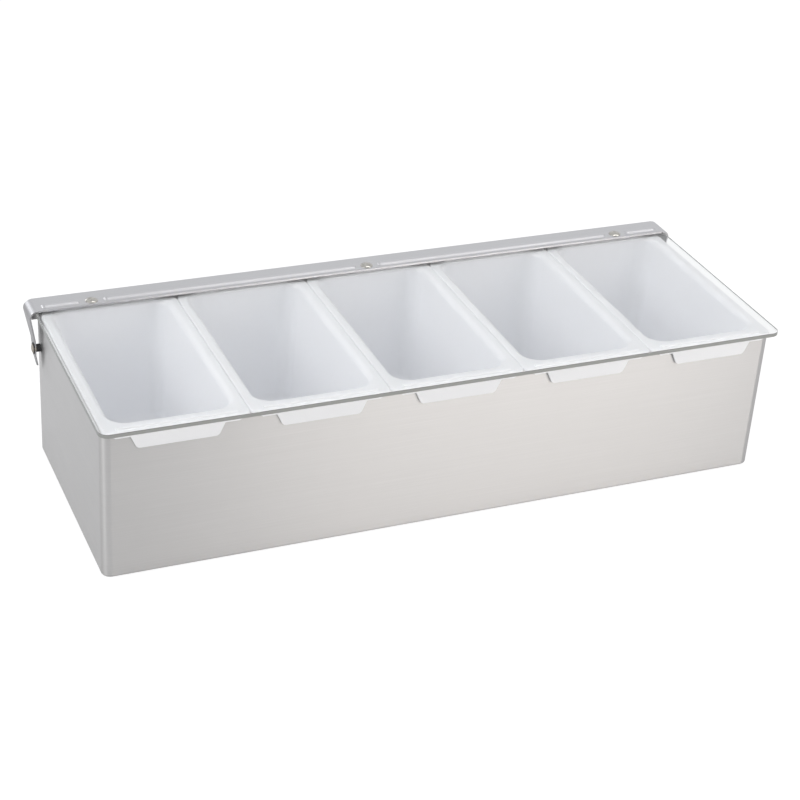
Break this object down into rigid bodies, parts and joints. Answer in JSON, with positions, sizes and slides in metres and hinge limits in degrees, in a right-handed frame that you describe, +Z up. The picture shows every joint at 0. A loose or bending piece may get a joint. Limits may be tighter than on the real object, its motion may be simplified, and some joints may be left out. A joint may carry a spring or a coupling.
{
  "type": "condiment caddy",
  "caption": "Long folded-steel condiment caddy with a row of lift-out white inserts under a clear lid that flips up on a hinge bar riveted along its rear edge.",
  "frame": {"origin": "centre of the underside, on the surface that the caddy stands on", "axes": "+X along the length, to the right as seen from the front; +Y to the rear, where the hinge is; +Z up"},
  "size_m": [0.4756, 0.1808, 0.1112],
  "materials": {
    "housing_steel": "brushed along the length",
    "bar_steel": "brushed along the length",
    "insert_white": "semi-gloss",
    "lid_clear": "clear, polished",
    "lid_rivet_metal": "satin",
    "pivot_rivet_metal": "satin",
    "washer_black": "matte",
    "spacer_dark": "matte"
  },
  "bodies": {
    "caddy": {"housing": "housing_steel", "insert_1": "insert_white", "insert_2": "insert_white", "insert_3": "insert_white", "insert_4": "insert_white", "insert_5": "insert_white", "pivot_rivet_left": "pivot_rivet_metal", "pivot_rivet_right": "pivot_rivet_metal", "pivot_spacer_left": "spacer_dark", "pivot_spacer_right": "spacer_dark", "pivot_head_washer_left": "washer_black", "pivot_head_washer_right": "washer_black", "pivot_inner_washer_left": "pivot_rivet_metal", "pivot_inner_washer_right": "pivot_rivet_metal"},
    "lid": {"lid_sheet": "lid_clear", "hinge_bar": "bar_steel", "lid_rivet_left": "lid_rivet_metal", "lid_rivet_centre": "lid_rivet_metal", "lid_rivet_right": "lid_rivet_metal"}
  },
  "joints": [
    {"name": "lid_hinge", "type": "hinge", "parent": "caddy", "child": "lid", "pos_m": [0, 0.07225, 0.0815], "axis": [-1, 0, 0], "range_deg": [0, 94]}
  ]
}
